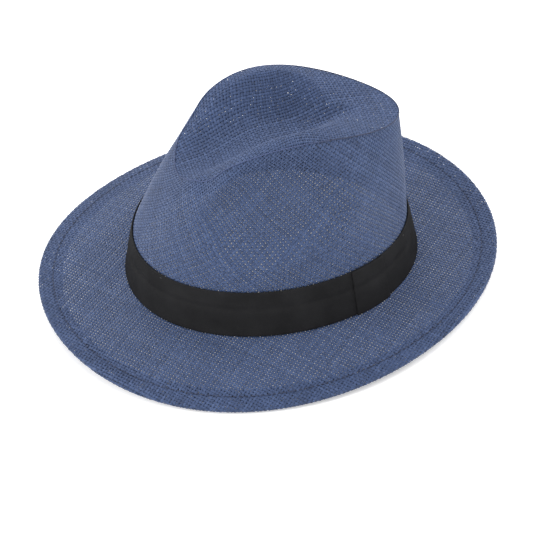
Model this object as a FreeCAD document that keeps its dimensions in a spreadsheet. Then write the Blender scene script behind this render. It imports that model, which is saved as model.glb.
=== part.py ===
import FreeCAD, Part
import math
import os
import Sketcher

# A woven fedora: a dented tip panel, a side wall and a wide brim, sewn together, with a black ribbon
# round the crown and a sweatband inside. The hat is drawn level, in millimetres: the head line is the
# plane Z = 0, the front points to -Y, the wearer's left is +X. REST then tips it to how it stands.

DIMENSIONS = (
    ("cloth", 1.2),                 # thickness of the woven paper cloth
    ("layer_gap", 0.25),            # slack between two sewn layers
    ("head_length", 205),           # outside the ribbon, along the head line
    ("head_width", 170),
    ("band_height", 34),
    ("band_lean_length", 12),       # how much shorter and narrower the ribbon's upper edge is
    ("band_lean_width", 13),
    ("ribbon", 0.9),
    ("keeper_width", 27),
    ("keeper_angle", 52.2),         # from the back of the hat towards the wearer's left
    ("brim_length", 321.8),
    ("brim_width", 279),
    ("brim_forward", 3.1),
    ("brim_height", -3.4),          # mean height of the brim's edge over the head line
    ("brim_pitch", 8.2),            # the front dips and the back lifts by this
    ("brim_saddle", 3.5),
    ("brim_arch", 2.8),
    ("hem_width", 16),
    ("wire", 0.8),
    ("hem_gap", 1.4),               # between the brim and its hem, where the wire runs
    ("ferrule_length", 8),
    ("ferrule_bore", 1.0),
    ("ferrule_wall", 0.15),
    ("thread", 0.6),
    ("trim_gap", 0.15),             # slack under the small pieces that lie on the others
    ("stitch_row", 10),             # from the brim's edge to its row of stitches
    ("tip_length", 152.8),
    ("tip_width", 89),
    ("tip_setback", 13.4),
    ("tip_egg", 0.19),              # the tip is fuller towards the front
    ("tip_square", 0.04),
    ("tip_height", 114.9),
    ("tip_pitch", 7.5),
    ("tip_saddle", 14.5),
    ("tip_arch", 3.8),
    ("tip_floor", 108),             # height of the middle of the dent
    ("tip_crest", 2.5),             # how far the crests stand over the tip seam at the front
    ("tip_crest_back", 1),          # and how much further they do at the back
    ("tip_shoulder", 0.20),         # share of the way inwards from the seam to the crest
    ("tip_shoulder_back", 0.29),    # how much wider the shoulder is behind the sides
    ("tip_notch", 0.15),            # and how much narrower again in the middle of the back
    ("tip_fall", 0.84),             # share of the way inwards from the seam to the level floor
    ("cord", 1.1),
    ("seam_setback", 0.985),        # the panels stop this share of the way to the seam line
    ("wall_under_ribbon", 0.28),    # share of the side wall, up its face, that the ribbon hides
    ("side_dent", 8),               # depth of the dent in each side
    ("dent_angle", 78),             # from the front to the middle of the dent
    ("dent_half_turn", 43),
    ("dent_rise", 0.58),            # share of the way up from the ribbon to the middle of the dent
    ("dent_half_rise", 0.42),
    ("dent_slope", 0.65),           # share of the dent's reach over which it gets deeper
    ("wall_fullness", 5),
    ("tape_width", 9),
    ("tape", 0.45),
    ("sweatband_height", 30),
    ("sweatband", 0.9),
    ("tab_width", 22),
    ("tab_height", 14),
    ("tab", 0.4),
    ("tack_length", 2),
    ("rest_pitch", 3.7),            # the level hat leans back by this when it stands on its brim
)

RING_POINTS = 48
BACK = math.pi
UP = FreeCAD.Vector(0, 0, 1)

doc = FreeCAD.newDocument("Fedora")
sheet = doc.addObject("Spreadsheet::Sheet", "Sizes")
for row, (alias, value) in enumerate(DIMENSIONS, start=1):
    sheet.set("A%d" % row, alias)
    sheet.set("B%d" % row, str(value))
    sheet.setAlias("B%d" % row, alias)
doc.recompute()


def size(alias):
    return float(sheet.get(alias))


# Directions round the hat are angles from the front, growing towards the wearer's left.

def outward(angle):
    """The level direction that points away from the head at an angle."""
    x = size("head_length") * math.sin(angle)
    y = -size("head_width") * math.cos(angle)
    return FreeCAD.Vector(x, y, 0).normalize()


def head_point(angle, rise, inset):
    """A point of the cone that the ribbon lies on, rise 0 to 1 up the ribbon, inset from its face."""
    length = size("head_length") - size("band_lean_length") * rise - 2 * inset
    width = size("head_width") - size("band_lean_width") * rise - 2 * inset
    x = width / 2 * math.sin(angle)
    y = -length / 2 * math.cos(angle)
    return FreeCAD.Vector(x, y, size("band_height") * rise)


def brim_edge(angle):
    x = size("brim_width") / 2 * math.sin(angle)
    y = -size("brim_forward") - size("brim_length") / 2 * math.cos(angle)
    z = size("brim_height") - size("brim_pitch") * math.cos(angle)
    z += size("brim_saddle") * math.cos(2 * angle) + size("brim_arch") * math.cos(3 * angle)
    return FreeCAD.Vector(x, y, z)


def tip_seam(angle):
    """The line where the tip panel meets the side wall: an egg that rises at both sides."""
    egg = 1 + size("tip_egg") * math.cos(angle) + size("tip_square") * math.cos(2 * angle)
    x = size("tip_width") / 2 * math.sin(angle) * egg
    y = size("tip_setback") - size("tip_length") / 2 * math.cos(angle)
    z = size("tip_height") - size("tip_pitch") * math.cos(angle)
    z -= size("tip_saddle") * math.cos(2 * angle) + size("tip_arch") * math.cos(3 * angle)
    return FreeCAD.Vector(x, y, z)


def wall_inset():
    """From the ribbon's outer face to the cloth under it."""
    return size("ribbon") + size("layer_gap")


def smooth(share):
    """0 up to share 0 and 1 from share 1 on, with no corner."""
    share = min(1.0, max(0.0, share))
    return share * share * (3 - 2 * share)


def turn_of(angle):
    """The angle from the front, without its side."""
    return abs(math.remainder(angle, 2 * math.pi))


def wall_point(angle, rise):
    """The side wall's outer face over the ribbon, rise 0 at the ribbon's top and 1 at the tip seam."""
    low = head_point(angle, 1, wall_inset())
    high = tip_seam(angle)
    side = math.sin(angle) ** 2
    fullness = size("wall_fullness") * (0.15 + 0.85 * side) * 4 * rise * (1 - rise)
    turn = math.degrees(turn_of(angle)) - size("dent_angle")
    climb = rise - size("dent_rise")
    distance = math.hypot(turn / size("dent_half_turn"), climb / size("dent_half_rise"))
    push = fullness - size("side_dent") * smooth((1 - distance) / size("dent_slope"))
    return low * (1 - rise) + high * rise + outward(angle) * push


def tip_point(angle, reach):
    """The tip panel's upper face, reach 1 at the seam and 0 in the middle of the dent. It rises from
    the seam over a rounded shoulder to a crest, and falls inside it to a level floor."""
    edge = tip_seam(angle)
    middle = FreeCAD.Vector(0, size("tip_setback"), 0)
    place = middle + (edge - middle) * reach
    inward = 1 - reach
    widening = math.exp(-((math.cos(angle) + 0.9) / 0.5) ** 2)
    shoulder = size("tip_shoulder") + size("tip_shoulder_back") * widening
    shoulder -= size("tip_notch") * math.exp(-((math.pi - turn_of(angle)) / 0.28) ** 2)
    crest = size("tip_crest") + size("tip_crest_back") * (1 - math.cos(angle)) / 2
    climb = crest * math.sin(min(1.0, inward / shoulder) * math.pi / 2)
    fall = min(1.0, max(0.0, (inward - shoulder) / (size("tip_fall") - shoulder)))
    dip = 0.65 * smooth(fall) + 0.35 * math.sin(fall * math.pi / 2)
    place.z = (edge.z + climb) * (1 - dip) + size("tip_floor") * dip
    return place


def brim_point(angle, reach):
    """The brim's upper face, reach 0 at the head line and 1 at the edge."""
    start = head_point(angle, 0, -0.2)
    start.z = -size("layer_gap")
    end = brim_edge(angle)
    place = start * (1 - reach) + end * reach
    place.z = start.z + (end.z - start.z) * reach ** 1.4
    return place


# A sewn layer is a sheet between two faces: the face given by a function of angle and reach,
# and the same face moved along its normal.

def normal_at(face_point, angle, reach):
    step = 0.01
    before = max(0.0, reach - step)
    after = min(1.0, reach + step)
    along = face_point(angle + step, reach) - face_point(angle - step, reach)
    across = face_point(angle, after) - face_point(angle, before)
    normal = along.cross(across).normalize()
    if normal.dot(outward(angle) * 0.5 + UP) < 0:
        normal = -normal
    return normal


def shifted(face_point, distance):
    """The face moved by a distance along its normal; the normal points up or outwards."""
    def point(angle, reach):
        return face_point(angle, reach) + normal_at(face_point, angle, reach) * distance
    return point


def ring(face_point, reach):
    """A closed smooth curve round the hat."""
    angles = [2 * math.pi * i / RING_POINTS for i in range(RING_POINTS)]
    curve = Part.BSplineCurve()
    curve.interpolate([face_point(angle, reach) for angle in angles], PeriodicFlag=True)
    return curve.toShape()


def ring_sheet(face_point, spans, outer, inner):
    """A closed band of cloth between two distances along the normal. Each span is a list of reaches
    that one smooth face runs through; the next span starts where it ends."""
    faces = []
    rims = []
    for distance in (outer, inner):
        moved = shifted(face_point, distance)
        rings = [[ring(moved, reach) for reach in span] for span in spans]
        for span in rings:
            faces += Part.makeLoft([Part.Wire(edge) for edge in span]).Faces
        rims.append((rings[0][0], rings[-1][-1]))
    for first, second in zip(*rims):
        faces.append(Part.makeRuledSurface(first, second))
    return closed_solid(faces)


def cap_sheet(face_point, reaches, outer, inner):
    """A panel like ring_sheet with a flat middle: its last reach has to be a level ring."""
    faces = []
    rims = []
    for distance in (outer, inner):
        moved = shifted(face_point, distance)
        rings = [Part.Wire(ring(moved, reach)) for reach in reaches]
        faces += Part.makeLoft(rings).Faces
        faces.append(Part.Face(rings[-1]))
        rims.append(rings[0].Edges[0])
    faces.append(Part.makeRuledSurface(*rims))
    return closed_solid(faces)


def strip_sheet(face_point, angles, reaches, outer, inner):
    """An open strip of tape: six faces, two of them curved like the cloth that it is sewn to."""
    corners = []
    faces = []
    for distance in (outer, inner):
        moved = shifted(face_point, distance)
        curves = []
        for reach in reaches:
            curve = Part.BSplineCurve()
            curve.interpolate([moved(angle, reach) for angle in angles])
            curves.append(curve.toShape())
        face = Part.makeLoft([Part.Wire(edge) for edge in curves]).Faces[0]
        faces.append(face)
        corners.append(face.OuterWire.OrderedEdges)
    for first, second in zip(*corners):
        faces.append(Part.makeRuledSurface(first, second))
    return closed_solid(faces)


def closed_solid(faces):
    shell = Part.makeShell(faces)
    shell.sewShape()
    solid = Part.makeSolid(Part.Shell(shell.Faces))
    if solid.Volume < 0:
        solid.reverse()
    return solid


def free_form(label, shape):
    piece = doc.addObject("Part::Feature", label)
    piece.Shape = shape
    return piece


# The woven panels

def side_face(angle, reach):
    """The side wall's outer face: a cone under the ribbon, then a full wall, dented at each side."""
    under = size("wall_under_ribbon")
    if reach < under:
        return head_point(angle, reach / under, wall_inset())
    return wall_point(angle, (reach - under) / (1 - under))


def crown_side():
    under = size("wall_under_ribbon")
    cone_span = [under * i / 3 for i in range(4)]
    wall_span = [under + (size("seam_setback") - under) * i / 9 for i in range(10)]
    return free_form("crown_side", ring_sheet(side_face, [cone_span, wall_span], 0, -size("cloth")))


def crown_tip():
    reaches = [size("seam_setback"), 0.95, 0.9, 0.84, 0.78, 0.72, 0.65, 0.58, 0.5, 0.42, 0.33, 0.24, 0.15]
    return free_form("crown_tip", cap_sheet(tip_point, reaches, 0, -size("cloth")))


def brim():
    reaches = [i / 8 for i in range(9)]
    return free_form("brim", ring_sheet(brim_point, [reaches], 0, -size("cloth")))


def edge_reach(distance):
    """How far out on the brim a line lies that keeps this distance from its edge."""
    overhang = (size("brim_width") - size("head_width")) / 2
    return 1 - distance / overhang


def brim_hem():
    """The edge of the cloth, turned under and sewn down."""
    start = edge_reach(size("hem_width"))
    reaches = [start + (1 - start) * i / 3 for i in range(4)]
    top = -size("cloth") - size("hem_gap")
    return free_form("brim_hem", ring_sheet(brim_point, [reaches], top, top - size("cloth")))


# Cords, threads and wires that run right round the hat

def ring_cord(label, line_point, diameter):
    """A thin eight-sided cord along a closed line, ruled between curves on its surface."""
    sides = 8
    curves = []
    for side in range(sides):
        turn = 2 * math.pi * side / sides

        def surface_point(angle, reach):
            level = outward(angle) * (diameter / 2 * math.cos(turn))
            return line_point(angle) + level + UP * (diameter / 2 * math.sin(turn))
        curves.append(Part.Wire(ring(surface_point, 0)))
    return free_form(label, Part.makeLoft(curves, True, True, True))


def tip_seam_cord():
    return ring_cord("tip_seam_cord", tip_seam, size("cord"))


def brim_wire():
    reach = edge_reach(size("ferrule_bore") + size("ferrule_wall"))
    middle = shifted(brim_point, -size("cloth") - size("hem_gap") / 2)
    return ring_cord("brim_wire", lambda angle: middle(angle, reach), size("wire"))


def hem_stitching():
    reach = edge_reach(size("stitch_row"))
    lying = shifted(brim_point, size("thread") / 2 + 0.05)
    return ring_cord("hem_stitching", lambda angle: lying(angle, reach), size("thread"))


def sweat_inset(layers):
    """From the ribbon's outer face to the sweatband's outer face, or further in by whole layers."""
    return wall_inset() + size("cloth") + size("layer_gap") + layers * size("sweatband")


def headline_stitching():
    inset = sweat_inset(1) + size("thread") / 2 + 0.05
    return ring_cord("headline_stitching", lambda angle: head_point(angle, 0.12, inset), size("thread"))


# Tapes sewn over the seams inside the crown

def tip_seam_tape():
    outer = -size("cloth") - size("layer_gap")
    reaches = [0.9, 0.925, 0.95, 0.97]
    shape = ring_sheet(side_face, [reaches], outer, outer - size("tape"))
    return free_form("tip_seam_tape", shape)


def back_seam_tape():
    outer = -size("cloth") - size("layer_gap")
    half_turn = size("tape_width") / size("head_width")
    angles = [BACK + half_turn * step for step in (-1, -0.5, 0, 0.5, 1)]
    reaches = [0.3 + 0.56 * i / 6 for i in range(7)]
    shape = strip_sheet(side_face, angles, reaches, outer, outer - size("tape"))
    return free_form("back_seam_tape", shape)


# The ribbon, its keeper and the sweatband: rings cut from cones

def expression(inset_text, rise_text):
    """Half the length and half the width of an oval on the ribbon's cone, as sheet expressions."""
    return (
        "(Sizes.head_length - Sizes.band_lean_length * (%s)) / 2 - (%s)" % (rise_text, inset_text),
        "(Sizes.head_width - Sizes.band_lean_width * (%s)) / 2 - (%s)" % (rise_text, inset_text),
    )


def oval(label, inset_text, height_text):
    """An ellipse across the cone at a height, its long axis from front to back."""
    rise_text = "(%s) / Sizes.band_height" % height_text
    half_length, half_width = expression(inset_text, rise_text)
    ellipse = doc.addObject("Part::Ellipse", label)
    ellipse.Placement = FreeCAD.Placement(FreeCAD.Vector(), FreeCAD.Rotation(UP, 90))
    ellipse.setExpression("MajorRadius", half_length)
    ellipse.setExpression("MinorRadius", half_width)
    ellipse.setExpression("Placement.Base.z", height_text)
    return ellipse


def cone(label, inset_text, low_text, high_text):
    loft = doc.addObject("Part::Loft", label)
    low = oval(label + "_low", inset_text, low_text)
    high = oval(label + "_high", inset_text, high_text)
    loft.Sections = [low, high]
    loft.Solid = True
    return loft


def cone_ring(label, outer_text, inner_text, low_text, high_text):
    ring_cut = doc.addObject("Part::Cut", label)
    ring_cut.Base = cone(label + "_outside", outer_text, low_text, high_text)
    ring_cut.Tool = cone(label + "_inside", inner_text, low_text, high_text)
    return ring_cut


def slice_of_ring(label, whole, width_alias, turn):
    """The part of a ring inside an upright box that stands out from the hat's middle."""
    box = doc.addObject("Part::Box", label + "_reach")
    box.setExpression("Length", "Sizes." + width_alias)
    box.setExpression("Width", "Sizes.head_length")
    box.setExpression("Height", "Sizes.band_height * 2")
    middle = FreeCAD.Vector(-size(width_alias) / 2, 0, -1)
    spin = FreeCAD.Rotation(UP, -turn)
    box.Placement = FreeCAD.Placement(spin.multVec(middle), spin)
    piece = doc.addObject("Part::Common", label)
    piece.Base = whole
    piece.Tool = box
    return piece


def hat_band():
    return cone_ring("hat_band", "0", "Sizes.ribbon", "0", "Sizes.band_height")


def band_keeper():
    """A flat fold of ribbon over the join, on the wearer's left towards the back."""
    outer = "-Sizes.ribbon - Sizes.trim_gap"
    whole = cone_ring("keeper_ring", outer, "-Sizes.trim_gap", "0.3", "Sizes.band_height - 0.3")
    return slice_of_ring("band_keeper", whole, "keeper_width", size("keeper_angle"))


SWEAT = "(Sizes.ribbon + Sizes.cloth + 2 * Sizes.layer_gap)"


def sweatband():
    inner = SWEAT + " + Sizes.sweatband"
    return cone_ring("sweatband", SWEAT, inner, "0.5", "Sizes.sweatband_height")


def sweatband_join():
    """The tape over the place where the sweatband's ends meet, at the back."""
    outer = SWEAT + " + Sizes.sweatband + Sizes.trim_gap"
    inner = outer + " + Sizes.tape"
    whole = cone_ring("join_ring", outer, inner, "6", "Sizes.sweatband_height - 0.5")
    return slice_of_ring("sweatband_join", whole, "tape_width", 0)


def band_tacks():
    """Four short stitches that hold the ribbon's upper edge to the crown."""
    tacks = []
    for turn in (30, 150, 210, 330):
        angle = math.radians(turn)
        middle = head_point(angle, 0.93, -size("thread") / 2 - 0.05)
        along = outward(angle).cross(UP)
        start = middle - along * size("tack_length") / 2
        tacks.append(Part.makeCylinder(size("thread") / 2, size("tack_length"), start, along))
    return free_form("band_tacks", Part.makeCompound(tacks))


# Small fittings

def origin_plane(body, role):
    return next(feature for feature in body.Origin.OriginFeatures if feature.Role == role)


def wire_ferrule():
    """A crimped tube over the ends of the brim wire, at the back of the brim."""
    body = doc.addObject("PartDesign::Body", "wire_ferrule")
    sketch = body.newObject("Sketcher::SketchObject", "FerruleSection")
    sketch.AttachmentSupport = [(origin_plane(body, "YZ_Plane"), "")]
    sketch.MapMode = "FlatFace"
    for index, name in enumerate(("bore", "outside")):
        sketch.addGeometry(Part.Circle(FreeCAD.Vector(), UP, 1 + index))
        sketch.addConstraint(Sketcher.Constraint("Coincident", index, 3, -1, 1))
        sketch.addConstraint(Sketcher.Constraint("Diameter", index, 2.0 + index))
        sketch.renameConstraint(2 * index + 1, name)
    sketch.setExpression("Constraints.bore", "Sizes.ferrule_bore")
    sketch.setExpression("Constraints.outside", "Sizes.ferrule_bore + 2 * Sizes.ferrule_wall")
    tube = body.newObject("PartDesign::Pad", "FerruleTube")
    tube.Profile = sketch
    tube.SideType = "Symmetric"
    tube.setExpression("Length", "Sizes.ferrule_length")
    reach = edge_reach(size("ferrule_bore") + size("ferrule_wall"))
    middle = shifted(brim_point, -size("cloth") - size("hem_gap") / 2)
    body.Placement = FreeCAD.Placement(middle(BACK, reach), FreeCAD.Rotation())
    return body


def size_tab():
    """A blank woven tab, sewn to the sweatband over its join."""
    body = doc.addObject("PartDesign::Body", "size_tab")
    sketch = body.newObject("Sketcher::SketchObject", "TabOutline")
    sketch.AttachmentSupport = [(origin_plane(body, "XZ_Plane"), "")]
    sketch.MapMode = "FlatFace"
    half, top = 11, 14
    corners = [(-half, 0), (half, 0), (half, top), (-half, top)]
    for start, end in zip(corners, corners[1:] + corners[:1]):
        sketch.addGeometry(Part.LineSegment(FreeCAD.Vector(*start, 0), FreeCAD.Vector(*end, 0)))
    for side in range(4):
        sketch.addConstraint(Sketcher.Constraint("Coincident", side, 2, (side + 1) % 4, 1))
    for side, kind in enumerate(("Horizontal", "Vertical", "Horizontal", "Vertical")):
        sketch.addConstraint(Sketcher.Constraint(kind, side))
    sketch.addConstraint(Sketcher.Constraint("Symmetric", 0, 1, 0, 2, -1, 1))
    width = sketch.addConstraint(Sketcher.Constraint("Distance", 0, 2.0 * half))
    height = sketch.addConstraint(Sketcher.Constraint("Distance", 1, top))
    sketch.renameConstraint(width, "width")
    sketch.renameConstraint(height, "height")
    sketch.setExpression("Constraints.width", "Sizes.tab_width")
    sketch.setExpression("Constraints.height", "Sizes.tab_height")
    pad = body.newObject("PartDesign::Pad", "TabCloth")
    pad.Profile = sketch
    pad.setExpression("Length", "Sizes.tab")
    lean = math.degrees(math.atan2(size("band_lean_length") / 2, size("band_height")))
    inner_face = sweat_inset(1) + size("tape") + size("trim_gap")
    place = head_point(BACK, 0.3, inner_face + sagitta(size("tab_width")) + size("tab") + 0.2)
    body.Placement = FreeCAD.Placement(place, FreeCAD.Rotation(FreeCAD.Vector(1, 0, 0), lean))
    return body


def sagitta(width):
    """How far the back of the head line bends away from a chord of this width."""
    radius = (size("head_width") / 2) ** 2 / (size("head_length") / 2)
    return radius - math.sqrt(radius * radius - width * width / 4)


BUILDERS = (
    crown_tip, crown_side, tip_seam_cord, tip_seam_tape, back_seam_tape,
    brim, brim_hem, brim_wire, wire_ferrule, hem_stitching, headline_stitching,
    hat_band, band_keeper, band_tacks, sweatband, sweatband_join, size_tab,
)


def rest_placement(pieces):
    """Leans the level hat back onto its brim, with the middle of its underside at the origin."""
    lean = FreeCAD.Placement(FreeCAD.Vector(), FreeCAD.Rotation(FreeCAD.Vector(1, 0, 0), -size("rest_pitch")))
    box = FreeCAD.BoundBox()
    for piece in pieces:
        tipped = piece.Shape.copy()
        tipped.Placement = lean * tipped.Placement
        box.add(tipped.optimalBoundingBox(False))
    lean.Base = FreeCAD.Vector(-box.Center.x, -box.Center.y, -box.ZMin)
    return lean


pieces = [build() for build in BUILDERS]
doc.recompute()
rest = rest_placement(pieces)
for piece in pieces:
    piece.Placement = rest * piece.Placement
doc.recompute()

for item in doc.Objects:
    if "Invalid" in item.State or "Error" in item.State:
        raise RuntimeError("%s failed: %s" % (item.Label, item.State))
for piece in pieces:
    if piece.Shape.isNull() or not piece.Shape.isValid():
        raise RuntimeError("%s has no valid shape" % piece.Label)

os.makedirs("parts", exist_ok=True)
for piece in pieces:
    piece.Shape.exportStep("parts/%s.step" % piece.Label)
    print("%-20s %9.1f mm3, %d solids" % (piece.Label, piece.Shape.Volume, len(piece.Shape.Solids)))
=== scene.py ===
import math

import bpy
import numpy as np
from mathutils import Matrix, Vector


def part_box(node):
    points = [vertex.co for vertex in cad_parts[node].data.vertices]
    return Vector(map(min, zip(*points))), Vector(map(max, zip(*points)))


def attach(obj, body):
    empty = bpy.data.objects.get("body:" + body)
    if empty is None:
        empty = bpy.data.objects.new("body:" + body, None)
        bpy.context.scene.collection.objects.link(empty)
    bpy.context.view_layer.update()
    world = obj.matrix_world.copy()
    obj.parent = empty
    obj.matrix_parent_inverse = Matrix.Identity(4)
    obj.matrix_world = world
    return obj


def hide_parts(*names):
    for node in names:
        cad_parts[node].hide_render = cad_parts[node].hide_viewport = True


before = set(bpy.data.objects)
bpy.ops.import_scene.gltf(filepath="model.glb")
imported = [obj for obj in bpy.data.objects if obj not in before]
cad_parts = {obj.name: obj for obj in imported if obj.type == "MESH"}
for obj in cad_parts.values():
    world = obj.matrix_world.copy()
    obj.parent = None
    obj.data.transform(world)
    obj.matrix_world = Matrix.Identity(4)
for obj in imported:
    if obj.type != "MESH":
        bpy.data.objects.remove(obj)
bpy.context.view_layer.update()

# The hat's visible cloth, ribbon and trim. Everything is shaped in the level frame of the hat, in
# metres: head line at z = 0, front towards -y, wearer's left towards +x. to_rest() then leans it back
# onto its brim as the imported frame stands. Angles go round from the front towards the wearer's left.

LEAN = math.radians(3.7)
BAND_LOW, BAND_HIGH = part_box("hat_band")
HEAD_WIDTH = BAND_HIGH.x - BAND_LOW.x
HEAD_LENGTH = (BAND_HIGH.y - BAND_LOW.y) / math.cos(LEAN)
REST_Y = BAND_HIGH.y - HEAD_LENGTH / 2 * math.cos(LEAN)
REST_Z = BAND_LOW.z + HEAD_LENGTH / 2 * math.sin(LEAN)

CLOTH = 0.0012
BAND_HEIGHT = 0.034
BAND_LEAN_LENGTH = 0.012
BAND_LEAN_WIDTH = 0.013
RIBBON = 0.0009
WALL_INSET = 0.00115            # from the ribbon's outer face to the cloth under it
SWEAT_INSET = 0.0026            # from the ribbon's outer face to the sweatband's outer face
SWEAT_INNER = 0.0035            # and to its inner face
SWEAT_HEIGHT = 0.030
BRIM_START = 0.0002             # the brim's cloth starts this far outside the ribbon's outer face
BRIM_HALF_WIDTH = 0.1395
BRIM_HALF_LENGTH = 0.1609
BRIM_FORWARD = 0.0031           # the brim's oval lies this far in front of the head's
HEM_WIDTH = 0.016
HEM_DROP = 0.0026               # between the middles of the brim and of the hem under it
FOLD_SETBACK = 0.00115          # from the brim's edge to the middle of its fold
STITCH_ROW = 0.010
UNDER_BAND = 0.28               # share of the side wall, up its face, that the ribbon hides
KEEPER_FROM_BACK = math.radians(52.2)
KEEPER_TURN = math.pi - math.atan2(
    math.sin(KEEPER_FROM_BACK) * HEAD_LENGTH, math.cos(KEEPER_FROM_BACK) * HEAD_WIDTH)
KEEPER_WIDTH = 0.027
KEEPER_RADIUS = 0.091           # from the hat's middle to the ribbon there
TIP_HALF_WIDTH = 0.0445
TIP_HALF_LENGTH = 0.0764
TIP_SETBACK = 0.0134
TIP_FLOOR = 0.108               # height of the middle of the dent over the head line
TIP_FALL = 0.84                 # share of the way inwards from the seam to the level floor
DENT_DEPTH = 0.0085             # of the dent in each side of the crown
TUBE_SIDES = 8
TAPE = 0.00045

rng = np.random.default_rng(7)


# Shape of the hat

def points(x, y, z):
    return np.stack(np.broadcast_arrays(x, y, z), axis=-1).astype(float)


def unit(vectors):
    return vectors / np.maximum(np.linalg.norm(vectors, axis=-1, keepdims=True), 1e-12)


def to_rest(level):
    """From the level frame to the frame's rest placement."""
    x, y, z = level[..., 0], level[..., 1], level[..., 2]
    along = y * math.cos(LEAN) + z * math.sin(LEAN)
    up = z * math.cos(LEAN) - y * math.sin(LEAN)
    return points(x, along + REST_Y, up + REST_Z)


def outward(t):
    return unit(points(HEAD_LENGTH * np.sin(t), -HEAD_WIDTH * np.cos(t), 0))


def saddle(t):
    """The sewn head line rides up at both sides of the head."""
    return -0.0006 * np.cos(t) - 0.0026 * np.cos(2 * t)


def head_point(t, rise, inset):
    length = HEAD_LENGTH - BAND_LEAN_LENGTH * rise - 2 * inset
    width = HEAD_WIDTH - BAND_LEAN_WIDTH * rise - 2 * inset
    return points(width / 2 * np.sin(t), -length / 2 * np.cos(t), BAND_HEIGHT * rise + saddle(t))


def brim_edge(t):
    z = -0.0034 - 0.0082 * np.cos(t) + 0.0035 * np.cos(2 * t) + 0.0028 * np.cos(3 * t)
    return points(BRIM_HALF_WIDTH * np.sin(t), -BRIM_FORWARD - BRIM_HALF_LENGTH * np.cos(t), z)


def hollow(distance):
    """A smooth hump: 1 at distance 0, and 0 from distance 1 on."""
    return np.maximum(0, 1 - distance * distance) ** 2


def smooth(share):
    share = np.clip(share, 0, 1)
    return share * share * (3 - 2 * share)


def turn_of(t):
    """The angle from the front, without its side."""
    return np.abs(np.mod(t + np.pi, 2 * np.pi) - np.pi)


def seam_drop(t):
    """How far the front pinch pulls the tip seam down, at each side of the front."""
    return 0.0045 * np.exp(-((turn_of(t) - math.radians(38)) / math.radians(9)) ** 2)


def tip_egg(t):
    """The tip is fuller towards the front."""
    return 1 + 0.19 * np.cos(t) + 0.04 * np.cos(2 * t)


def tip_seam(t):
    z = 0.1149 - 0.0075 * np.cos(t) - 0.0145 * np.cos(2 * t) - 0.0038 * np.cos(3 * t)
    x = TIP_HALF_WIDTH * np.sin(t) * tip_egg(t)
    return points(x, TIP_SETBACK - TIP_HALF_LENGTH * np.cos(t), z - seam_drop(t))


def dent_share(t, rise):
    """1 in the hollow of each side's dent, and 0 outside it."""
    distance = np.hypot((turn_of(t) - math.radians(78)) / math.radians(43), (rise - 0.58) / 0.42)
    return smooth((1 - distance) / 0.5)


def wall_point(t, rise):
    """The side wall over the ribbon, with the dent pressed into each side."""
    low = head_point(t, 1, WALL_INSET)
    high = tip_seam(t)
    fullness = 0.005 * (0.15 + 0.85 * np.sin(t) ** 2) * 4 * rise * (1 - rise)
    push = fullness - DENT_DEPTH * dent_share(t, rise)
    rise = np.asarray(rise)[..., None]
    return low * (1 - rise) + high * rise + outward(t) * np.asarray(push)[..., None]


def side_face(t, reach):
    """The side wall's outer face, reach 0 at the head line and 1 at the tip seam."""
    t, reach = np.broadcast_arrays(t, reach)
    cone = head_point(t, np.minimum(reach, UNDER_BAND) / UNDER_BAND, WALL_INSET)
    wall = wall_point(t, np.maximum(reach - UNDER_BAND, 0) / (1 - UNDER_BAND))
    return np.where((reach < UNDER_BAND)[..., None], cone, wall)


def tip_face(t, reach):
    """The tip panel's upper face, reach 1 at the seam and 0 in the middle of the dent. It rises from
    the seam over a rounded shoulder to a crest, and falls inside it to the floor."""
    edge = tip_seam(t)
    inward = np.maximum(0, 1 - reach)
    shoulder = 0.20 + 0.29 * np.exp(-((np.cos(t) + 0.9) / 0.5) ** 2)
    shoulder = shoulder - 0.15 * np.exp(-((np.pi - turn_of(t)) / 0.28) ** 2)
    crest = 0.0025 + 0.0005 * (1 - np.cos(t))
    seam_height = edge[..., 2] + seam_drop(t)
    over = np.clip(inward / shoulder, 0, 1)
    climb = crest * np.sin(over * np.pi / 2) - seam_drop(t) * (1 - over) ** 2
    fall = np.clip((inward - shoulder) / (TIP_FALL - shoulder), 0, 1)
    dip = 0.65 * smooth(fall) + 0.35 * np.sin(fall * np.pi / 2)
    z = (seam_height + climb) * (1 - dip) + TIP_FLOOR * dip
    return points(edge[..., 0] * reach, TIP_SETBACK + (edge[..., 1] - TIP_SETBACK) * reach, z)


def brim_face(t, reach):
    """The brim's upper face, reach 0 at the head line and 1 at the edge."""
    start = head_point(t, 0, -BRIM_START)
    start[..., 2] -= 0.00025
    end = brim_edge(t)
    reach = np.asarray(reach)
    place = start * (1 - reach[..., None]) + end * reach[..., None]
    place[..., 2] = start[..., 2] + (end[..., 2] - start[..., 2]) * np.maximum(reach, 0) ** 1.4
    return place


def normal_at(face, t, reach, step=0.004):
    along = face(t + step, reach) - face(t - step, reach)
    across = face(t, reach + step) - face(t, reach - step)
    normal = unit(np.cross(along, across))
    hint = outward(t) * 0.5 + np.array([0, 0, 1.0])
    return normal * np.sign(np.sum(normal * hint, axis=-1, keepdims=True))


def under(face, t, reach, depth):
    """A point below a cloth's outer face, along its normal."""
    return face(t, reach) - normal_at(face, t, reach) * np.asarray(depth)[..., None]


# Meshes

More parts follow.
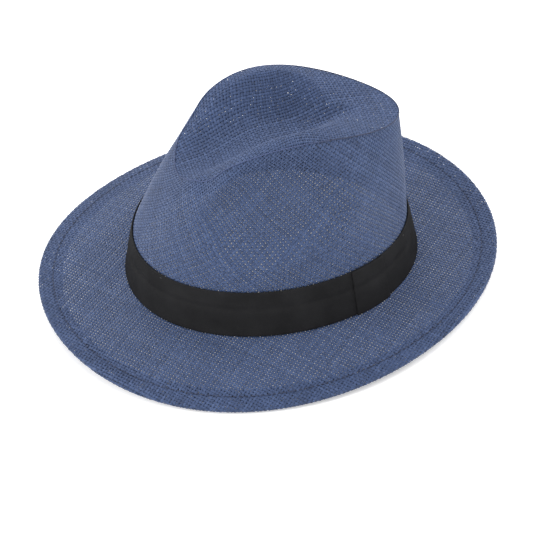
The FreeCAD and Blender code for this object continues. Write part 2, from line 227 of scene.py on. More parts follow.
def add_piece(name, vertices, polygons, material, replaced=(), tone=None):
    """A mesh in the rest frame. polygons is a list of index arrays, each with rows of one length."""
    mesh = bpy.data.meshes.new(name)
    counts = np.concatenate([np.full(len(rows), rows.shape[1]) for rows in polygons if len(rows)])
    corners = np.concatenate([rows.ravel() for rows in polygons if len(rows)])
    mesh.vertices.add(len(vertices))
    mesh.vertices.foreach_set("co", to_rest(vertices).astype(np.float32).ravel())
    mesh.loops.add(len(corners))
    mesh.loops.foreach_set("vertex_index", corners.astype(np.int32))
    mesh.polygons.add(len(counts))
    mesh.polygons.foreach_set("loop_start", (np.cumsum(counts) - counts).astype(np.int32))
    mesh.polygons.foreach_set("use_smooth", np.ones(len(counts), bool))
    mesh.update(calc_edges=True)
    mesh.validate()
    if tone is not None:
        attribute = mesh.attributes.new("tone", "FLOAT", "POINT")
        attribute.data.foreach_set("value", tone.astype(np.float32))
    mesh.materials.append(material)
    piece = bpy.data.objects.new(name, mesh)
    bpy.context.scene.collection.objects.link(piece)
    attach(piece, "root")
    if replaced:
        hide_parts(*replaced)
    return piece


def grid_quads(rows, columns, wrap_rows, wrap_columns):
    """Quads of a grid of vertices numbered row by row."""
    row = np.arange(rows if wrap_rows else rows - 1)
    column = np.arange(columns if wrap_columns else columns - 1)
    row, column = (a.ravel() for a in np.meshgrid(row, column, indexing="ij"))
    next_row = (row + 1) % rows
    next_column = (column + 1) % columns
    return np.stack([
        row * columns + column,
        next_row * columns + column,
        next_row * columns + next_column,
        row * columns + next_column,
    ], axis=1)


# Woven cloth: every strand is its own flat tube that goes over and under the strands it crosses.
# A chart turns cloth coordinates (i, j), whole numbers where two strands cross, into a point of
# the cloth's middle surface. The inside function is positive within the panel's outline.

STRAND_SIDES = 6
SECTION = np.arange(STRAND_SIDES) * (2 * np.pi / STRAND_SIDES)
STRAND_HALF_THICKNESS = 0.0002
STRAND_LIFT = 0.00029           # a strand rises and sinks by this where it crosses another
END_TUCK = 0.0002               # and its cut ends sink by this


def chart_axes(chart, i, j, step=0.25):
    along_i = (chart(i + step, j) - chart(i - step, j)) / (2 * step)
    along_j = (chart(i, j + step) - chart(i, j - step)) / (2 * step)
    return along_i, along_j


def clip_strands(room, step_place):
    """Strands end on the outline: the first point outside it moves back along the strand onto it.
    room is positive inside. Also tells which points lie inside."""
    kept = room > 0
    leaving = kept[:, :-1] & ~kept[:, 1:]
    entering = ~kept[:, :-1] & kept[:, 1:]
    with np.errstate(divide="ignore", invalid="ignore"):
        share = room[:, :-1] / (room[:, :-1] - room[:, 1:])
    outline = step_place[:, :-1] + share * np.diff(step_place, axis=1)
    place = step_place.copy()
    place[:, 1:][leaving] = outline[leaving]
    place[:, :-1][entering] = outline[entering]
    return place, kept


def strand_faces(used, linked, outwards):
    """Quads and end caps of the tubes. used marks the grid's points that have a section, linked the
    steps between two of them. outwards says whether a section's corners run the outward way."""
    number = np.full(used.shape, -1)
    number[used] = np.arange(used.sum())
    first = number[:, :-1][linked]
    second = number[:, 1:][linked]
    side = np.arange(STRAND_SIDES)
    next_side = (side + 1) % STRAND_SIDES
    quads = np.stack([
        first[:, None] * STRAND_SIDES + side,
        first[:, None] * STRAND_SIDES + next_side,
        second[:, None] * STRAND_SIDES + next_side,
        second[:, None] * STRAND_SIDES + side,
    ], axis=-1).reshape(-1, 4)
    starts = np.setdiff1d(number[used], second)
    ends = np.setdiff1d(number[used], first)
    caps = np.concatenate([starts[:, None] * STRAND_SIDES + side[::-1], ends[:, None] * STRAND_SIDES + side])
    if outwards:
        return quads, caps
    return quads[:, ::-1], caps[:, ::-1]


def strand_family(chart, inside, crosswise, lines, steps, wander, cover):
    """Vertices, quads, end caps and tones of all strands of one family. lines are the strands'
    own numbers and steps the numbers of the strands that they cross. cover(i, j) is a strand's
    width as a share of the space that it has."""
    lines = np.arange(lines[0], lines[1] + 1)
    steps = np.arange(2 * steps[0], 2 * steps[1] + 1) / 2
    own, other = (wander[1], wander[0]) if crosswise else (wander[0], wander[1])
    middle = len(own) // 2
    own_place = np.repeat((lines + own[lines + middle])[:, None], len(steps), axis=1)
    numbers = np.arange(len(other)) - middle
    step_place = np.repeat((steps + np.interp(steps, numbers, other))[None], len(lines), axis=0)

    def arrange(a, b):
        return (b, a) if crosswise else (a, b)

    place, kept = clip_strands(inside(*arrange(own_place, step_place)), step_place)
    linked = kept[:, :-1] | kept[:, 1:]
    used = np.zeros_like(kept)
    used[:, :-1] |= linked
    used[:, 1:] |= linked

    row, column = np.nonzero(used)
    i, j = arrange(own_place[row, column], place[row, column])
    centre = chart(i, j)
    along_i, along_j = chart_axes(chart, i, j)
    run = along_i if crosswise else along_j
    area = np.cross(along_i, along_j)
    normal = unit(area)
    across = unit(np.cross(normal, run))
    spacing = np.linalg.norm(area, axis=-1) / np.linalg.norm(run, axis=-1)

    crossing = steps[column] % 1 == 0
    over = np.where((lines[row] + np.floor(steps[column]).astype(int)) % 2 == 0, 1.0, -1.0)
    lift = np.where(crossing & kept[row, column], over * STRAND_LIFT, 0.0)
    lift *= -1.0 if crosswise else 1.0
    lift = np.where(kept[row, column], lift, -END_TUCK)
    line_width = 1 + 0.035 * rng.standard_normal(len(lines))
    patchy = 0.035 * np.sin(0.31 * i + 0.17 * j + 2.1 * np.sin(0.13 * j)) * np.sin(0.23 * j - 0.11 * i)
    width = 0.5 * cover(i, j) * spacing * (1 + patchy) * line_width[row]
    width = width * (1 + 0.05 * rng.standard_normal(len(row)))
    line_tone = rng.standard_normal(len(lines))
    tone = 0.5 + 0.09 * line_tone[row] + 0.13 * rng.standard_normal(len(row))

    centre = centre + normal * lift[:, None]
    rim = (across[:, None] * (width[:, None] * np.cos(SECTION))[..., None]
           + normal[:, None] * (STRAND_HALF_THICKNESS * np.sin(SECTION))[None, :, None])
    vertices = (centre[:, None] + rim).reshape(-1, 3)
    outwards = np.sum(np.cross(across[0], normal[0]) * run[0]) >= 0
    quads, caps = strand_faces(used, linked, outwards)
    return vertices, quads, caps, np.repeat(np.clip(tone, 0, 1), STRAND_SIDES)


def weave(names, chart, inside, lines, steps, cover, replaced, splits=2):
    """Both families of a woven panel, each cut into groups of neighbouring strands."""
    reach = max(abs(n) for n in (*lines, *steps)) + 2
    wander = 0.05 * rng.standard_normal((2, 2 * reach + 1))
    for crosswise, name in enumerate(names):
        own, crossed = (steps, lines) if crosswise else (lines, steps)
        cuts = np.linspace(own[0], own[1] + 1, splits + 1).astype(int)
        for group, (low, high) in enumerate(zip(cuts[:-1], cuts[1:])):
            vertices, quads, caps, tone = strand_family(
                chart, inside, bool(crosswise), (low, high - 1), crossed, wander, cover)
            label = "%s_%s" % (name, "ab"[group]) if splits > 1 else name
            add_piece(label, vertices, [quads, caps], STRAW, replaced, tone)


# The brim: one flat cloth cut on the bias, folded round the wire at its edge and sewn down below

BRIM_PITCH = 0.00215
FOLD_RADIUS = HEM_DROP / 2
FOLD_TURN = math.pi * FOLD_RADIUS
BRIM_TUCK = -0.045              # the brim runs on this far inside the head line, as a reach


def brim_angles(x, y):
    """The angle and reach whose brim point lies over a point in plan. Past the edge the ovals go on."""
    low = np.full(np.shape(x), -0.2)
    high = np.full(np.shape(x), 1.6)
    for _ in range(34):
        middle = (low + high) / 2
        half_width = (HEAD_WIDTH / 2 + BRIM_START) * (1 - middle) + BRIM_HALF_WIDTH * middle
        half_length = (HEAD_LENGTH / 2 + BRIM_START) * (1 - middle) + BRIM_HALF_LENGTH * middle
        outside = (x / half_width) ** 2 + ((y + BRIM_FORWARD * middle) / half_length) ** 2 > 1
        low = np.where(outside, middle, low)
        high = np.where(outside, high, middle)
    return np.arctan2(x / half_width, -(y + BRIM_FORWARD * middle) / half_length), middle


def brim_plan(i, j):
    return (i - j) * BRIM_PITCH / math.sqrt(2), (i + j) * BRIM_PITCH / math.sqrt(2)


def overhang(t):
    """How wide the brim is in plan, along a line of one angle."""
    step = brim_edge(t) - head_point(t, 0, -BRIM_START)
    return np.hypot(step[..., 0], step[..., 1])


def brim_cloth(t, reach):
    """The middle of the brim's cloth. Beyond the fold it comes back below as the hem."""
    width = overhang(t)
    inward = (1 - reach) * width
    past = FOLD_SETBACK - inward
    flat = under(brim_face, t, np.minimum(reach, 1 - FOLD_SETBACK / width), CLOTH / 2)
    groove = 0.0005 * hollow((inward - STITCH_ROW) / 0.0016) * (past < 0)
    flat[..., 2] -= groove

    centre_reach = 1 - FOLD_SETBACK / width
    normal = normal_at(brim_face, t, centre_reach)
    out = brim_face(t, centre_reach + 0.004) - brim_face(t, centre_reach - 0.004)
    out = unit(out - normal * np.sum(out * normal, axis=-1, keepdims=True))
    centre = brim_face(t, centre_reach) - normal * (CLOTH / 2 + FOLD_RADIUS)
    turn = np.clip(past / FOLD_RADIUS, 0, np.pi)[..., None]
    fold = centre + FOLD_RADIUS * (out * np.sin(turn) + normal * np.cos(turn))

    back = np.maximum(past - FOLD_TURN, 0)
    below_reach = 1 - (FOLD_SETBACK + back) / width
    hem = under(brim_face, t, below_reach, CLOTH / 2 + HEM_DROP)
    bent = np.where((past > FOLD_TURN)[..., None], hem, fold)
    return np.where((past > 0)[..., None], bent, flat)


def brim_chart(i, j):
    t, reach = brim_angles(*brim_plan(i, j))
    return brim_cloth(t, reach)


def brim_cover(i, j):
    return np.full(np.shape(i), 0.755)


def brim_inside(i, j):
    t, reach = brim_angles(*brim_plan(i, j))
    width = overhang(t)
    hem_end = (1 - reach) * width + FOLD_TURN + HEM_WIDTH - 2 * FOLD_SETBACK
    return np.minimum((reach - BRIM_TUCK) * width, hem_end)


# The side wall: a strip cut on the bias, joined at the back of the hat

SIDE_STRANDS = 160
SIDE_RISE = 0.00311             # from one crossing to the next straight up the wall
SIDE_TABLE = np.linspace(-np.pi, np.pi, 241)


def side_heights():
    """The wall's height along its face at each angle of SIDE_TABLE, from a fine polyline."""
    reaches = np.linspace(0, 1, 61)
    line = side_face(SIDE_TABLE[:, None], reaches[None])
    return np.linalg.norm(np.diff(line, axis=1), axis=-1).sum(axis=1)


SIDE_HEIGHTS = side_heights()


def side_place(i, j):
    t = (i + j) / SIDE_STRANDS * np.pi
    height = (i - j) / 2 * SIDE_RISE
    return t, height / np.interp(t, SIDE_TABLE, SIDE_HEIGHTS)


def side_chart(i, j):
    t, reach = side_place(i, j)
    return under(side_face, t, np.clip(reach, -0.02, 1.02), CLOTH / 2)


def side_cover(i, j):
    """The cloth is stretched open a little in the dent."""
    t, reach = side_place(i, j)
    return 0.80 - 0.04 * dent_share(t, (reach - UNDER_BAND) / (1 - UNDER_BAND))


def side_inside(i, j):
    t, reach = side_place(i, j)
    height = np.interp(t, SIDE_TABLE, SIDE_HEIGHTS)
    rows = np.minimum((reach - 0.004) * height, (0.998 - reach) * height)
    return np.minimum(rows, (np.pi - 0.006 - np.abs(t)) * HEAD_WIDTH / 2)


# The tip panel: straight grain, pressed into the dent

TIP_PITCH = 0.00205
TIP_SKEW = math.radians(4)
TIP_TURNS = np.linspace(-np.pi, np.pi, 181)
TIP_REACHES = np.linspace(0, 1.04, 105)


def tip_lengths():
    """The length along the tip's face from its middle, for each of TIP_TURNS and TIP_REACHES."""
    line = tip_face(TIP_TURNS[:, None], TIP_REACHES[None])
    steps = np.linalg.norm(np.diff(line, axis=1), axis=-1)
    return np.concatenate([np.zeros((len(TIP_TURNS), 1)), np.cumsum(steps, axis=1)], axis=1)


TIP_LENGTHS = tip_lengths()


def tip_length_at(t, reach):
    """TIP_LENGTHS between its entries."""
    row = (t + np.pi) / (2 * np.pi) * (len(TIP_TURNS) - 1)
    column = reach / TIP_REACHES[-1] * (len(TIP_REACHES) - 1)
    row_low = np.clip(np.floor(row).astype(int), 0, len(TIP_TURNS) - 2)
    column_low = np.clip(np.floor(column).astype(int), 0, len(TIP_REACHES) - 2)
    row_share = row - row_low
    column_share = column - column_low
    near = TIP_LENGTHS[row_low, column_low] * (1 - row_share)
    near = near + TIP_LENGTHS[row_low + 1, column_low] * row_share
    far = TIP_LENGTHS[row_low, column_low + 1] * (1 - row_share)
    far = far + TIP_LENGTHS[row_low + 1, column_low + 1] * row_share
    return near * (1 - column_share) + far * column_share


def tip_place(i, j):
    """The angle and reach of the tip panel at a point of its straight grid, laid from its middle."""
    x = (i * math.cos(TIP_SKEW) - j * math.sin(TIP_SKEW)) * TIP_PITCH
    y = (i * math.sin(TIP_SKEW) + j * math.cos(TIP_SKEW)) * TIP_PITCH
    t = np.arctan2(x / TIP_HALF_WIDTH, -y / TIP_HALF_LENGTH)
    for _ in range(14):
        t = np.arctan2(x / (TIP_HALF_WIDTH * tip_egg(t)), -y / TIP_HALF_LENGTH)
    distance = np.hypot(x, y)
    low = np.zeros(np.shape(t))
    high = np.full(np.shape(t), TIP_REACHES[-1])
    for _ in range(22):
        reach = (low + high) / 2
        short = tip_length_at(t, reach) < distance
        low = np.where(short, reach, low)
        high = np.where(short, high, reach)
    return t, reach


def tip_chart(i, j):
    t, reach = tip_place(i, j)
    return under(tip_face, t, np.minimum(reach, 1.03), CLOTH / 2)


def tip_cover(i, j):
    return np.full(np.shape(i), 0.82)


def tip_inside(i, j):
    _, reach = tip_place(i, j)
    return 0.997 - reach


# Materials

class Nodes:
    """A small helper to write a material's node tree from the surface backwards."""

    def __init__(self, name):
        self.material = bpy.data.materials.new(name)
        self.material.use_nodes = True
        self.tree = self.material.node_tree
        self.shader = self.tree.nodes["Principled BSDF"]

    def add(self, kind, **inputs):
        node = self.tree.nodes.new(kind)
        for key, value in inputs.items():
            self.feed(node, key, value)
        return node

    def feed(self, node, key, value):
        socket = node.inputs[key.replace("_", " ")] if isinstance(key, str) else node.inputs[key]
        if isinstance(value, bpy.types.NodeSocket):
            self.tree.links.new(value, socket)
        else:
            socket.default_value = value

    def surface(self, **inputs):
        for key, value in inputs.items():
            self.feed(self.shader, key, value)

    def coordinates(self, scale=(1, 1, 1)):
        source = self.tree.nodes.new("ShaderNodeTexCoord")
        mapping = self.tree.nodes.new("ShaderNodeMapping")
        mapping.inputs["Scale"].default_value = scale
        self.tree.links.new(source.outputs["Object"], mapping.inputs["Vector"])
        return mapping.outputs["Vector"]

    def noise(self, scale, detail=3.0, stretch=(1, 1, 1)):
        node = self.add("ShaderNodeTexNoise", Vector=self.coordinates(stretch), Scale=scale, Detail=detail)
        return node.outputs["Fac"]

    def ramp(self, factor, *stops):
        """stops are (position, colour) pairs."""
        node = self.tree.nodes.new("ShaderNodeValToRGB")
        while len(node.color_ramp.elements) < len(stops):
            node.color_ramp.elements.new(1.0)
        for element, (position, colour) in zip(node.color_ramp.elements, stops):
            element.position = position
            element.color = (*colour, 1)
        self.tree.links.new(factor, node.inputs["Fac"])
        return node.outputs["Color"]

    def levels(self, factor, low, high):
        node = self.add("ShaderNodeMapRange", Value=factor)
        node.inputs["To Min"].default_value = low
        node.inputs["To Max"].default_value = high
        return node.outputs["Result"]

    def math(self, operation, first, second):
        node = self.tree.nodes.new("ShaderNodeMath")
        node.operation = operation
        for socket, value in zip(node.inputs, (first, second)):
            if isinstance(value, bpy.types.NodeSocket):
                self.tree.links.new(value, socket)
            else:
                socket.default_value = value
        return node.outputs["Value"]

    def attribute(self, name):
        node = self.tree.nodes.new("ShaderNodeAttribute")
        node.attribute_name = name
        return node.outputs["Fac"]

    def bump(self, height, distance, strength=1.0):
        node = self.add("ShaderNodeBump", Height=height, Distance=distance, Strength=strength)
        self.surface(Normal=node.outputs["Normal"])


def straw_material():
    """Navy paper yarn: strands of slightly different blue, with fine fibre along them."""
    m = Nodes("woven_straw")
    fibre = m.noise(2600, 4.0)
    patch = m.noise(38, 2.0)
    tone = m.math("ADD", m.math("MULTIPLY", m.attribute("tone"), 0.62), m.math("MULTIPLY", fibre, 0.26))
    tone = m.math("ADD", tone, m.math("MULTIPLY", patch, 0.12))
    colour = m.ramp(
        tone,
        (0.25, (0.021, 0.038, 0.092)),
        (0.50, (0.035, 0.062, 0.146)),
        (0.75, (0.059, 0.094, 0.200)),
    )
    m.surface(Base_Color=colour, Roughness=m.levels(fibre, 0.50, 0.68))
    m.surface(Sheen_Weight=0.08, Sheen_Roughness=0.5)
    m.surface(Specular_IOR_Level=0.35)
    m.bump(fibre, 0.00006, 0.7)
    return m.material


def thread_material(name, dark, light):
    m = Nodes(name)
    twist = m.noise(3200, 2.0)
    m.surface(Base_Color=m.ramp(twist, (0.3, dark), (0.7, light)), Roughness=0.62)
    m.surface(Sheen_Weight=0.15)
    m.bump(twist, 0.00005, 0.7)
    return m.material


def seam_cord_painted_shade_material():
    """The seam's thread is the straw's own blue along the sides, and round the front and back it carries
    painted shade, darker where the seam's gap shades it.
    """
    m = Nodes("seam_cord")
    twist = m.noise(3200, 2.0)
    split = m.add("ShaderNodeSeparateXYZ", Vector=m.coordinates())
    # 0 a tenth of a metre in front of the hat's middle, and 1 as far behind it
    place = m.math("ADD", m.math("MULTIPLY", split.outputs["Y"], 5.0), 0.5)
    # painted shade: this darker thread colour, used round the front and back, stands in for the shadow in
    # the seam's gap
    dark = m.ramp(twist, (0.3, (0.012, 0.018, 0.048)), (0.7, (0.024, 0.036, 0.085)))
    light = m.ramp(twist, (0.3, (0.028, 0.046, 0.120)), (0.7, (0.052, 0.080, 0.190)))
    # 1 along the sides, and 0 round the front and back where the painted shade goes
    share = m.ramp(place, (0.18, (0, 0, 0)), (0.28, (1, 1, 1)), (0.62, (1, 1, 1)), (0.74, (0, 0, 0)))
    painted_shade_blend = m.add("ShaderNodeMixRGB", Fac=share, Color1=dark, Color2=light)
    m.surface(Base_Color=painted_shade_blend.outputs["Color"], Roughness=0.62)
    m.bump(twist, 0.00005, 0.7)
    return m.material


def ribbon_material():
    """Black ribbed ribbon: fine ribs run up and down, and the face has a faint sheen."""
    m = Nodes("black_ribbon")
    fibre = m.noise(2200, 4.0)
    patch = m.noise(60, 3.0)
    shade = m.math("ADD", m.math("MULTIPLY", fibre, 0.55), m.math("MULTIPLY", patch, 0.45))
    colour = m.ramp(shade, (0.35, (0.0110, 0.0110, 0.0117)), (0.65, (0.0200, 0.0200, 0.0212)))
    m.surface(Base_Color=colour, Roughness=m.levels(fibre, 0.62, 0.80))
    m.surface(Specular_IOR_Level=0.05)
    m.bump(fibre, 0.00007, 0.8)
    return m.material


def woven_tape_material(name, dark, light, scale=1500):
    m = Nodes(name)
    fibre = m.noise(scale, 4.0)
    patch = m.noise(90, 2.0)
    shade = m.math("ADD", m.math("MULTIPLY", fibre, 0.6), m.math("MULTIPLY", patch, 0.4))
    m.surface(Base_Color=m.ramp(shade, (0.35, dark), (0.65, light)), Roughness=m.levels(fibre, 0.7, 0.88))
    m.surface(Sheen_Weight=0.25)
    m.bump(fibre, 0.0001, 0.8)
    return m.material


def metal_material(name, colour, roughness):
    m = Nodes(name)
    drawn = m.noise(900, 3.0, (8, 1, 1))
    dark = tuple(0.75 * c for c in colour)
    m.surface(Base_Color=m.ramp(drawn, (0.3, dark), (0.7, colour)), Metallic=1.0)
    m.surface(Roughness=m.levels(drawn, roughness - 0.06, roughness + 0.1))
    m.bump(drawn, 0.00002, 0.5)
    return m.material


STRAW = straw_material()
NAVY_THREAD = thread_material("navy_thread", (0.012, 0.018, 0.045), (0.026, 0.036, 0.085))
BLACK_THREAD = thread_material("black_thread", (0.008, 0.008, 0.009), (0.022, 0.022, 0.024))
SEAM_CORD_PAINTED_SHADE = seam_cord_painted_shade_material()
BLACK_RIBBON = ribbon_material()
SEAM_TAPE = woven_tape_material("seam_tape", (0.012, 0.016, 0.034), (0.026, 0.034, 0.066))
SWEAT_CLOTH = woven_tape_material("sweat_cloth", (0.012, 0.012, 0.013), (0.028, 0.028, 0.030), 1800)
TAB_CLOTH = woven_tape_material("tab_cloth", (0.42, 0.41, 0.38), (0.56, 0.55, 0.52), 2400)
STEEL = metal_material("spring_wire", (0.55, 0.55, 0.56), 0.32)
ALUMINIUM = metal_material("ferrule_metal", (0.72, 0.73, 0.74), 0.38)


# Ribbon, keeper, sweatband and tapes: closed strips whose section is a rounded outline

def ring_strip(name, outline, turns, closed, material, replaced):
    """outline(t) gives the closed outline of the strip's section at angles t, as (angles, points, 3)."""
    section = outline(turns)
    rows, columns = section.shape[:2]
    quads = grid_quads(rows, columns, closed, True)
    polygons = [quads]
    if not closed:
        ends = np.arange(columns)
        last = (rows - 1) * columns
        polygons.append(np.stack([ends, (ends + last)[::-1]]))
    middle = section.mean(axis=1)
    first = section[0]
    edge_one = section[1, 0] - first[0]
    edge_two = first[1] - first[0]
    if np.dot(np.cross(edge_one, edge_two), first[0] - middle[0]) < 0:
        polygons = [rows_of[:, ::-1] for rows_of in polygons]
    return add_piece(name, section.reshape(-1, 3), polygons, material, replaced)


def strip_section(low, high, outer, inner, steps, shape=None):
    """(rise height, inset) pairs round a thin upright strip with rounded edges: up its outer face
    and down its inner one. shape(share) adds an outward push to the outer face."""
    shares = np.linspace(0, 1, steps)
    push = shape(shares) if shape else np.zeros(steps)
    radius = (inner - outer) / 2
    middle = outer + radius
    bends = np.linspace(-np.pi / 2, np.pi / 2, 7)[1:-1]
    heights = list(low + radius + shares * (high - low - 2 * radius))
    insets = list(outer - push)
    for bend in bends:
        heights.append(high - radius + radius * math.cos(bend))
        insets.append(middle + radius * math.sin(bend) - push[-1] * (1 - math.sin(bend)) / 2)
    heights += list(low + radius + shares[::-1] * (high - low - 2 * radius))
    insets += [inner] * steps
    for bend in bends:
        heights.append(low + radius - radius * math.cos(bend))
        insets.append(middle - radius * math.sin(bend) - push[0] * (1 + math.sin(bend)) / 2)
    return np.array(heights), np.array(insets)


def upright(section):
    """The outline function of a strip that stands on the head line's cone."""
    heights, insets = section

    def outline(t):
        return head_point(np.asarray(t)[:, None], heights[None] / BAND_HEIGHT, insets[None])
    return outline


def band_shape(share):
    """The ribbon bows out a little, with a soft crease along it about two thirds of the way up, and
    its lower edge stands off where it meets the brim."""
    bow = 0.0006 * 4 * share * (1 - share)
    crease = -0.0007 * np.exp(-((share - 0.62) / 0.055) ** 2)
    return bow + crease + 0.0008 * np.maximum(0, 0.25 - share) / 0.25


def band_pieces():
    turns = np.linspace(0, 2 * np.pi, 480, endpoint=False)
    section = strip_section(0.0, BAND_HEIGHT, 0.0, RIBBON, 26, band_shape)
    ring_strip("hat_band_ribbon", upright(section), turns, True, BLACK_RIBBON,
               ["hat_band"])
    half = KEEPER_WIDTH / 2 / KEEPER_RADIUS
    turns = np.linspace(KEEPER_TURN - half, KEEPER_TURN + half, 60)
    section = strip_section(-0.0003, BAND_HEIGHT + 0.0003, -0.0011, -0.0002, 26, band_shape)
    ring_strip("band_keeper_fold", upright(section), turns, False, BLACK_RIBBON,
               ["band_keeper"])


def sweat_pieces():
    turns = np.linspace(0, 2 * np.pi, 720, endpoint=False)
    section = strip_section(-0.0018, SWEAT_HEIGHT, SWEAT_INSET, SWEAT_INNER, 20)
    ring_strip("sweatband_cloth", upright(section), turns, True, SWEAT_CLOTH, ["sweatband"])
    turns = turns_at_back(0.0045, 0.099, 16)
    section = strip_section(0.006, SWEAT_HEIGHT - 0.0005, SWEAT_INNER + 0.00015, SWEAT_INNER + 0.0006, 12)
    ring_strip("sweatband_join_tape", upright(section), turns, False, SWEAT_CLOTH,
               ["sweatband_join"])


def face_strip(face, reaches):
    """The outline function of a tape sewn below a cloth's face, thinner at its two edges."""
    edge = np.linspace(0, 1, len(reaches))
    soften = np.clip(np.minimum(edge, 1 - edge) / 0.12, 0.15, 1) ** 0.5
    middle = CLOTH + 0.0003 + TAPE / 2

    def outline(t):
        t = np.asarray(t)[:, None]
        top = under(face, t, reaches[None], (middle - TAPE / 2 * soften)[None])
        low = under(face, t, reaches[None], (middle + TAPE / 2 * soften)[None])
        return np.concatenate([top, low[:, ::-1]], axis=1)
    return outline


def turns_at_back(half_width, radius, count):
    """Angles across a strip at the back of the hat, where the hat's curve has this radius."""
    return np.linspace(np.pi - half_width / radius, np.pi + half_width / radius, count)


def tape_pieces():
    turns = np.linspace(0, 2 * np.pi, 420, endpoint=False)
    outline = face_strip(side_face, np.linspace(0.90, 0.972, 9))
    ring_strip("tip_seam_tape_cloth", outline, turns, True, SEAM_TAPE, ["tip_seam_tape"])
    turns = turns_at_back(0.0045, 0.085, 13)
    outline = face_strip(side_face, np.linspace(0.30, 0.86, 60))
    ring_strip("back_seam_tape_cloth", outline, turns, False, SEAM_TAPE, ["back_seam_tape"])


# Cord and stitches

STITCH_SHARES = np.linspace(-0.5, 0.5, 9)


def tube(line, normal, radius, closed):
    """Vertices and quads of a round tube along a line; line and normal are (count, 3)."""
    if closed:
        run = np.roll(line, -1, axis=0) - np.roll(line, 1, axis=0)
    else:
        run = np.gradient(line, axis=0)
    run = unit(run)
    across = unit(np.cross(normal, run))
    lift = unit(np.cross(run, across))
    ring = np.arange(TUBE_SIDES) * (2 * np.pi / TUBE_SIDES)
    radius = np.asarray(radius)[..., None]
    vertices = (line[:, None] + across[:, None] * (radius * np.cos(ring))[..., None]
                + lift[:, None] * (radius * np.sin(ring))[..., None])
    quads = grid_quads(len(line), TUBE_SIDES, closed, True)[:, ::-1]
    return vertices.reshape(-1, 3), quads


def thread_piece(name, threads, material, replaced):
    """One piece made of short separate threads, each given as its line, normals and radius."""
    vertices = []
    quads = []
    caps = []
    ring = np.arange(TUBE_SIDES)
    for number, thread in enumerate(threads):
        made, faces = tube(*thread, False)
        start = number * len(made)
        vertices.append(made)
        quads.append(faces + start)
        caps.append(np.stack([ring[::-1], ring + len(made) - TUBE_SIDES]) + start)
    add_piece(name, np.concatenate(vertices), [np.concatenate(quads), np.concatenate(caps)],
              material, replaced)


def stitch_row(face, reach_at, depth, pitch, length, radius, perimeter):
    """The threads of a row of stitches round the hat. Each one dives in at both ends."""
    count = int(round(perimeter / pitch))
    threads = []
    for number in range(count):
        t = 2 * np.pi * (number + 0.08 * rng.standard_normal()) / count
        turns = t + STITCH_SHARES * 2 * np.pi / count * length / pitch
        reach = reach_at(turns)
        sink = depth + 0.0009 * (2 * np.abs(STITCH_SHARES)) ** 4
        thin = radius * (1 - 0.45 * (2 * np.abs(STITCH_SHARES)) ** 6)
        threads.append((under(face, turns, reach, sink), normal_at(face, turns, reach), thin))
    return threads


def seam_cord():
    turns = np.linspace(0, 2 * np.pi, 900, endpoint=False)
    line = tip_seam(turns) - points(0, 0, 0.0003)
    swell = 0.00036 * (1 + 0.10 * np.sin(turns * 260))
    vertices, quads = tube(line, outward(turns) + np.array([0, 0, 1.0]), swell, True)
    add_piece("tip_seam_cord_twist", vertices, [quads], SEAM_CORD_PAINTED_SHADE, ["tip_seam_cord"])


def stitch_pieces():
    def hem_row(turns):
        return 1 - STITCH_ROW / overhang(turns)
    threads = stitch_row(brim_face, hem_row, 0.00025, 0.0034, 0.0026, 0.00024, 0.88)
    thread_piece("hem_stitch_row", threads, NAVY_THREAD, ["hem_stitching"])

    def inner_face(t, reach):
        return head_point(t, reach, SWEAT_INNER)

    def head_row(turns):
        return np.full(np.shape(turns), 0.12)
    threads = stitch_row(inner_face, head_row, 0.0002, 0.0036, 0.0027, 0.00025, 0.57)
    thread_piece("headline_stitch_row", threads, BLACK_THREAD, ["headline_stitching"])


def tack_pieces():
    """Four short stitches that hold the ribbon's upper edge to the crown."""
    threads = []
    for turn in (30, 150, 210, 330):
        turns = math.radians(turn) + STITCH_SHARES * 0.002 / 0.09
        push = 0.00035 - 0.0007 * (2 * np.abs(STITCH_SHARES)) ** 4
        threads.append((head_point(turns, 0.93, -push), outward(turns), 0.00026))
    thread_piece("band_tack_stitches", threads, BLACK_THREAD, ["band_tacks"])


def tab_piece():
    """The blank tab: a small woven cloth that lies along the sweatband's curve."""
    inner = SWEAT_INNER + 0.0006 + 0.0002
    turns = turns_at_back(0.011, 0.0985, 25)
    section = strip_section(0.0102, 0.0242, inner, inner + 0.0004, 14)
    ring_strip("size_tab_cloth", upright(section), turns, False, TAB_CLOTH, ["size_tab"])


# The object

weave(("brim_warp", "brim_weft"), brim_chart, brim_inside, (-88, 88), (-88, 88), brim_cover,
      ["brim", "brim_hem"])
weave(("side_warp", "side_weft"), side_chart, side_inside, (-81, 125), (-125, 81), side_cover,
      ["crown_side"])
weave(("tip_warp", "tip_weft"), tip_chart, tip_inside, (-36, 36), (-52, 52), tip_cover,
      ["crown_tip"], splits=1)
seam_cord()
band_pieces()
sweat_pieces()
tape_pieces()
stitch_pieces()
tack_pieces()
tab_piece()
for name, finish, slot in (
        ("brim_wire", STEEL, "spring_wire"),
        ("wire_ferrule", ALUMINIUM, "ferrule_metal")):
    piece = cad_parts[name]
    piece.data.materials.clear()
    piece.data.materials.append(finish)


# Camera, floor and light

VIEW_TURN = math.radians(79.31)
VIEW_LIFT = math.radians(44.0)
VIEW_ROLL = math.radians(-2.30)
VIEW_DISTANCE = 1.49073
VIEW_TARGET = np.array([0, -0.00404, -0.01544])
LENS = 142.77


def level_directions(vectors):
    """Turns directions of the level frame into the rest frame."""
    return to_rest(vectors) - to_rest(np.zeros_like(vectors))


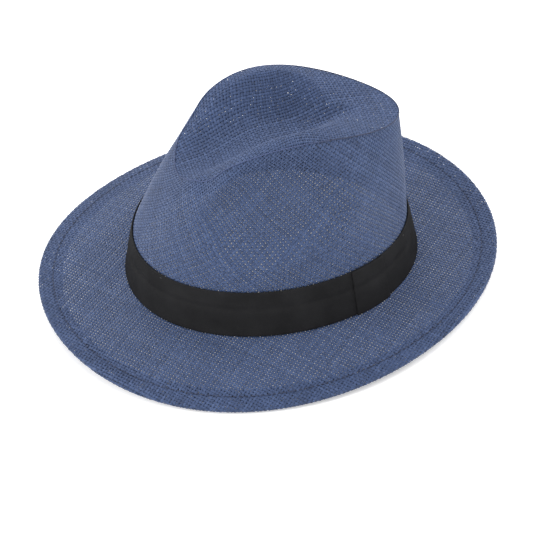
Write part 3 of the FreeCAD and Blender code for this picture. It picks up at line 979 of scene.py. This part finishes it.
def add_camera():
    back = np.array([
        math.sin(VIEW_TURN) * math.cos(VIEW_LIFT),
        -math.cos(VIEW_TURN) * math.cos(VIEW_LIFT),
        math.sin(VIEW_LIFT),
    ])
    right = np.array([math.cos(VIEW_TURN), math.sin(VIEW_TURN), 0])
    up = np.cross(back, right)
    across = math.cos(VIEW_ROLL) * right + math.sin(VIEW_ROLL) * up
    upright_axis = math.cos(VIEW_ROLL) * up - math.sin(VIEW_ROLL) * right
    axes = level_directions(np.stack([across, upright_axis, back]))
    place = to_rest(VIEW_TARGET + back * VIEW_DISTANCE)
    data = bpy.data.cameras.new("camera")
    data.sensor_width = 36
    data.lens = LENS
    camera = bpy.data.objects.new("camera", data)
    matrix = Matrix.Identity(4)
    for column in range(3):
        matrix.col[column][:3] = axes[column]
    matrix.col[3][:3] = place
    camera.matrix_world = matrix
    bpy.context.scene.collection.objects.link(camera)
    bpy.context.scene.camera = camera


def add_light(name, place, size, power):
    data = bpy.data.lights.new(name, "AREA")
    data.shape = "DISK"
    data.size = size
    data.energy = power
    light = bpy.data.objects.new(name, data)
    light.location = place
    light.rotation_euler = (Vector((0, 0, 0.05)) - Vector(place)).to_track_quat("-Z", "Y").to_euler()
    bpy.context.scene.collection.objects.link(light)


def add_floor():
    floor = Nodes("floor")
    grain = floor.noise(6, 2.0)
    pale = floor.ramp(grain, (0.3, (0.90, 0.90, 0.90)), (0.7, (0.93, 0.93, 0.93)))
    floor.surface(Base_Color=pale, Roughness=0.9)
    floor.surface(Emission_Color=(1.0, 0.98, 0.94, 1.0), Emission_Strength=0.28)
    mesh = bpy.data.meshes.new("floor")
    reach = 8.0
    corners = [(-reach, -reach, 0), (reach, -reach, 0), (reach, reach, 0), (-reach, reach, 0)]
    mesh.from_pydata(corners, [], [(0, 1, 2, 3)])
    mesh.materials.append(floor.material)
    plane = bpy.data.objects.new("floor", mesh)
    plane.location.z = 0
    bpy.context.scene.collection.objects.link(plane)


def add_world():
    world = bpy.data.worlds.new("studio")
    world.use_nodes = True
    background = world.node_tree.nodes["Background"]
    background.inputs["Color"].default_value = (1, 1, 1, 1)
    background.inputs["Strength"].default_value = 0.60
    bpy.context.scene.world = world


add_camera()
add_floor()
add_world()
add_light("softbox_left", (-0.3, -2.0, 1.1), 1.4, 34)
add_light("softbox_right", (-0.5, 2.0, 1.1), 1.4, 30)
add_light("softbox_back", (-1.9, 0.0, 1.8), 1.6, 26)
add_light("softbox_top", (0.1, 0.1, 2.3), 1.5, 14)
add_light("softbox_near", (2.0, 0.2, 0.9), 1.5, 14)
bpy.context.scene.view_settings.view_transform = "Standard"

bpy.context.view_layer.update()
